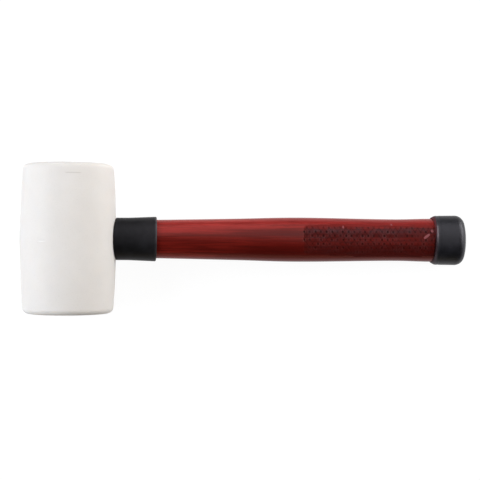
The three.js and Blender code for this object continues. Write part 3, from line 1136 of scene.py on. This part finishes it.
# %% The two finishes of the wood
def hickory(name, low_rough, high_rough, level, tint, coat):
    """Stained hickory with a gloss: roughness, specular level and tint, and coat weight."""
    material, tree, place = finish_named(name)
    axes = add(tree, "SeparateXYZ", [place])
    along, across = axes.outputs["X"], axes.outputs["Y"]
    wood, sap = stained_wood(tree, place, along, across)
    wood, growth, pores = with_grain(tree, place, wood, sap)
    wood, scorch = with_burns(tree, place, across, wood)
    polish = add(tree, "MapRange", [growth, 0, 1, low_rough, high_rough])
    shader = add(tree, "BsdfPrincipled", {
        "Base Color": wood,
        "Roughness": add(tree, "Math", [polish, scorch], operation="ADD", use_clamp=True),
        "IOR": 1.5,
        "Specular IOR Level": level,
        "Specular Tint": tint,
        "Coat Weight": coat,
        "Coat Roughness": 0.24,
        "Coat IOR": 1.5,
        "Normal": add(tree, "Bump", {"Height": pores, "Distance": 0.02 * MM}),
    })
    add(tree, "OutputMaterial", {"Surface": shader})
    print(f"{name}: {len(tree.nodes)} nodes")
    return material


handle.data.materials.append(hickory(
    "lacquered_hickory", low_rough=0.42, high_rough=0.56, level=0.94, tint="#ff3a2c", coat=0.3
))
handle.data.materials.append(hickory(
    "singed_hickory", low_rough=0.5, high_rough=0.65, level=0.42, tint="#ff5c50", coat=0
))

# %% Which faces lie under the plates
PLATE_LEAST = 0.2

mesh = handle.data
plate_share = np.zeros(len(mesh.vertices), np.float32)
mesh.attributes["plate"].data.foreach_get("value", plate_share)
corners = np.zeros(len(mesh.loops), np.int32)
mesh.loops.foreach_get("vertex_index", corners)
first_corners = np.zeros(len(mesh.polygons), np.int32)
mesh.polygons.foreach_get("loop_start", first_corners)
counts = np.diff(np.append(first_corners, len(corners)))
under = np.add.reduceat(plate_share[corners], first_corners) / counts > PLATE_LEAST
mesh.polygons.foreach_set("material_index", under.astype(np.int32))
print("faces under the plates:", int(under.sum()), "of", len(mesh.polygons))

# %% [markdown]
# ## Moulded black rubber
#
# Collar and cap are black rubber, full of carbon black. A polished mould gives the cap a satin
# skin with a trace of blue in its reflection. The collar is a stretched sleeve with a duller
# one. Black alone would be a hole in the picture, so what the eye reads is the skin: a fine
# grain, faint grey smears from handling that are a little rougher, and paler corners, rubbed and
# with a painted highlight. Dust of the red lacquer clings to the cap's mouth in patches and dulls
# it, and a painted reflection of the red wood lies with it there. The IOR is 1.52, as in the white
# rubber, and the roughness about 0.4 on the cap and 0.5 on the collar. Both could share one
# finish, but one function with their own values keeps the two skins apart.

# %% Black rubbers
SMEAR_SIZE = 7
SKIN_GRAIN = 0.45


def black_rubber(name, dark, smear, wear_and_highlight, low_rough, high_rough, shine):
    """Black rubber with a skin between two roughness values, and its colour on worn corners with a
    painted highlight.
    """
    material, tree, place = finish_named(name)
    cloud = add(tree, "TexNoise", {"Vector": place, "Scale": 1 / SMEAR_SIZE, "Detail": 4})
    smeared = add(tree, "MapRange", [cloud, 0.4, 0.7])
    colour = add(tree, "Mix", [smeared, dark, smear], data_type="RGBA")
    patches = add(tree, "MapRange", [cloud, 0.3, 0.6, 0.6, 1])
    # Painted highlight: the paler corners are partly wear and partly a highlight painted into the
    # colour.
    scuff_and_highlight = add(tree, "Attribute", attribute_name="wear_and_highlight").outputs["Fac"]
    scuff_and_highlight = add(tree, "Math", [scuff_and_highlight, patches], operation="MULTIPLY")
    colour = add(tree, "Mix", [scuff_and_highlight, colour, wear_and_highlight], data_type="RGBA")
    # Painted reflection: lacquer dust in the cap's chamfer, with the red wood's reflection painted into
    # it.
    dust_and_reflection_share = add(tree, "Attribute", attribute_name="dust_and_wood_reflection").outputs["Fac"]
    dust_and_reflection_share = add(tree, "Math", [dust_and_reflection_share, patches], operation="MULTIPLY")
    colour = add(tree, "Mix", [dust_and_reflection_share, colour, "#571d21"], data_type="RGBA")
    rough = add(tree, "MapRange", [cloud, 0, 1, low_rough, high_rough])
    dull = add(tree, "Math", [dust_and_reflection_share, 0.4], operation="MULTIPLY")
    grain = add(tree, "TexNoise", {"Vector": place, "Scale": 1 / SKIN_GRAIN})
    shader = add(tree, "BsdfPrincipled", {
        "Base Color": colour,
        "Roughness": add(tree, "Math", [rough, dull], operation="ADD"),
        "IOR": 1.52,
        "Specular IOR Level": shine,
        "Specular Tint": "#f7f4ff",
        "Normal": add(tree, "Bump", {"Height": grain, "Distance": 0.012 * MM}),
    })
    add(tree, "OutputMaterial", {"Surface": shader})
    print(f"{name}: {len(tree.nodes)} nodes")
    return material


collar.data.materials.append(black_rubber(
    "black_sleeve_rubber", dark="#0b0b0c", smear="#141416", wear_and_highlight="#4c4648",
    low_rough=0.42, high_rough=0.54, shine=0.22
))
end_cap.data.materials.append(black_rubber(
    "black_moulded_rubber", dark="#0e0e12", smear="#17171c", wear_and_highlight="#7e7276",
    low_rough=0.36, high_rough=0.47, shine=0.37
))

# %% [markdown]
# ## Nail steel
#
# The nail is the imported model's own solid, hidden in the head, and its shape needs no finer
# piece. It is bright drawn steel wire: a metal, with fine lines along its length from the die. A
# flat grey would do while it is hidden, but whoever takes the model apart will see it, so noise
# drawn out along the wire gives it those lines. Drawn steel has a roughness of 0.3 to 0.5.

# %% Nail steel
WIRE_LINE_SIZE = (0.33, 0.33, 7)

nail_steel, tree, place = finish_named("drawn_steel_wire")
turned = {"Vector": place, "Angle": -nail_turn}
along_wire = add(tree, "VectorRotate", turned, rotation_type="Y_AXIS")
drawn_out = add(tree, "VectorMath", [along_wire, WIRE_LINE_SIZE], operation="DIVIDE")
lines = add(tree, "TexNoise", {"Vector": drawn_out, "Scale": 1, "Detail": 3})
shader = add(tree, "BsdfPrincipled", {
    "Base Color": add(tree, "Mix", [lines, "#b7b9bb", "#8f9295"], data_type="RGBA"),
    "Metallic": 1,
    "Roughness": add(tree, "MapRange", [lines, 0, 1, 0.3, 0.5]),
})
add(tree, "OutputMaterial", {"Surface": shader})
nail = frame["nodes"]["retaining_nail"]
nail.data.materials.clear()
nail.data.materials.append(nail_steel)
print("nail steel:", len(tree.nodes), "nodes")

# %% [markdown]
# ## The table
#
# The table is matt white paper. More light would turn it white but bleach the rubber too. So
# where the camera or a reflection sees it, most of its brightness is its own glow, and a little
# is the light that falls on it, which keeps a faint shadow. To all other light it is plain paper.

# %% The table
TABLE_HALF = 6
TABLE_GLOW = 0.945

paper = bpy.data.materials.new("white_paper")
paper.use_nodes = True
tree = paper.node_tree
tree.nodes.clear()
ray = add(tree, "LightPath")
seen = ray.outputs["Is Camera Ray"]
for kind in ("Is Glossy Ray", "Is Transmission Ray"):
    seen = add(tree, "Math", [seen, ray.outputs[kind]], operation="MAXIMUM")
plain = add(tree, "BsdfDiffuse", {"Color": "#dcdcdc"})
shaded = add(tree, "BsdfDiffuse", {"Color": "#595959"})
glow = add(tree, "Emission", {"Color": "#ffffff", "Strength": TABLE_GLOW})
bright = add(tree, "AddShader", [shaded, glow])
add(tree, "OutputMaterial", {"Surface": add(tree, "MixShader", [seen, plain, bright])})

table_mesh = bpy.data.meshes.new("table")
edges = [(x * TABLE_HALF, y * TABLE_HALF, 0) for x, y in ((-1, -1), (1, -1), (1, 1), (-1, 1))]
table_mesh.from_pydata(edges, [], [range(4)])
table_mesh.materials.append(paper)
table = bpy.data.objects.new("table", table_mesh)
bpy.context.scene.collection.objects.link(table)
print("table:", 2 * TABLE_HALF, "m wide")

# %% [markdown]
# ## The light
#
# Four softboxes light the tool, as in a small studio. A large one hangs high behind it, a little
# to the right, and draws the broad soft highlight along the handle's upper side. A slightly cool
# one on the left shapes the head, and a low one on the right brightens the ends and edges that
# face it. A faint warm one, low in front, only lifts the lower edges out of the dark. One bright
# room could light it all, but then the black rubber would turn grey and the head flat. So the
# room is nearly black, and white only where the camera sees it.

# %% The room
ROOM_LIGHT = 0.01

world = bpy.data.worlds.new("studio")
bpy.context.scene.world = world
world.use_nodes = True
tree = world.node_tree
tree.nodes.clear()
ray = add(tree, "LightPath")
room = add(tree, "Background", {"Color": "#ffffff", "Strength": ROOM_LIGHT})
backdrop = add(tree, "Background", {"Color": "#ffffff", "Strength": 1})
sky = add(tree, "MixShader", [ray.outputs["Is Camera Ray"], room, backdrop])
add(tree, "OutputWorld", {"Surface": sky})
print("room:", len(tree.nodes), "nodes")


# %% The softboxes
LAMP_DISTANCE = 1.3


def softbox(name, azimuth, height, size, radiance, colour="#ffffff"):
    """A rectangular lamp that faces the tool. Azimuth goes from behind the tool to the right,
    height is the angle above the table, and the power follows from how bright the lamp looks."""
    turn, rise = math.radians(azimuth), math.radians(height)
    level = Vector((math.sin(turn) * math.cos(rise), math.cos(turn) * math.cos(rise), math.sin(rise)))
    lamp = bpy.data.lights.new(name, "AREA")
    lamp.shape = "RECTANGLE"
    lamp.size = size[0]
    lamp.size_y = size[1]
    lamp.energy = radiance * math.pi * size[0] * size[1]
    lamp.color = linear(colour)[:3]
    light = bpy.data.objects.new(name, lamp)
    bpy.context.scene.collection.objects.link(light)
    light.location = LAMP_DISTANCE * level
    light.rotation_euler = (-level).to_track_quat("-Z", "Y").to_euler()
    light.visible_camera = False
    print(f"{name}: {lamp.energy:.1f} W")


softbox("softbox_behind", azimuth=28, height=55, size=(1.6, 1.4), radiance=1.68)
softbox("softbox_left", azimuth=272, height=34, size=(0.9, 0.7), radiance=7.45, colour="#f3f8ff")
softbox("softbox_right", azimuth=68, height=12, size=(1.0, 0.5), radiance=8.1)
softbox("softbox_front", azimuth=180, height=16, size=(1.1, 0.4), radiance=0.95, colour="#fff0c4")

# %% [markdown]
# ## The camera
#
# The photograph was taken from straight above, some 0.9 m away. The lens and the camera's place
# were fitted to the tool's outline, and the picture is turned by a quarter of a degree. Lens
# shift could centre the tool too, but it would change how its sides show, so the camera stands
# where the photographer's did.

# %% Camera
LENS = 82.5
CAMERA_REACH = 132.9
CAMERA_OFFSET = -0.44
CAMERA_HEIGHT = 888.2
PICTURE_TURN = 0.25

camera_data = bpy.data.cameras.new("camera")
camera_data.sensor_width = 36
camera_data.lens = LENS
camera_data.clip_end = 50
camera = bpy.data.objects.new("camera", camera_data)
bpy.context.scene.collection.objects.link(camera)
above = Vector((head_centre.x / MM + CAMERA_REACH, CAMERA_OFFSET, CAMERA_HEIGHT))
camera.location = above * MM
camera.rotation_euler = (0, 0, math.radians(PICTURE_TURN))
bpy.context.scene.camera = camera
bpy.context.scene.view_settings.view_transform = "Standard"
print(f"field of view: {math.degrees(camera_data.angle):.1f} degrees")
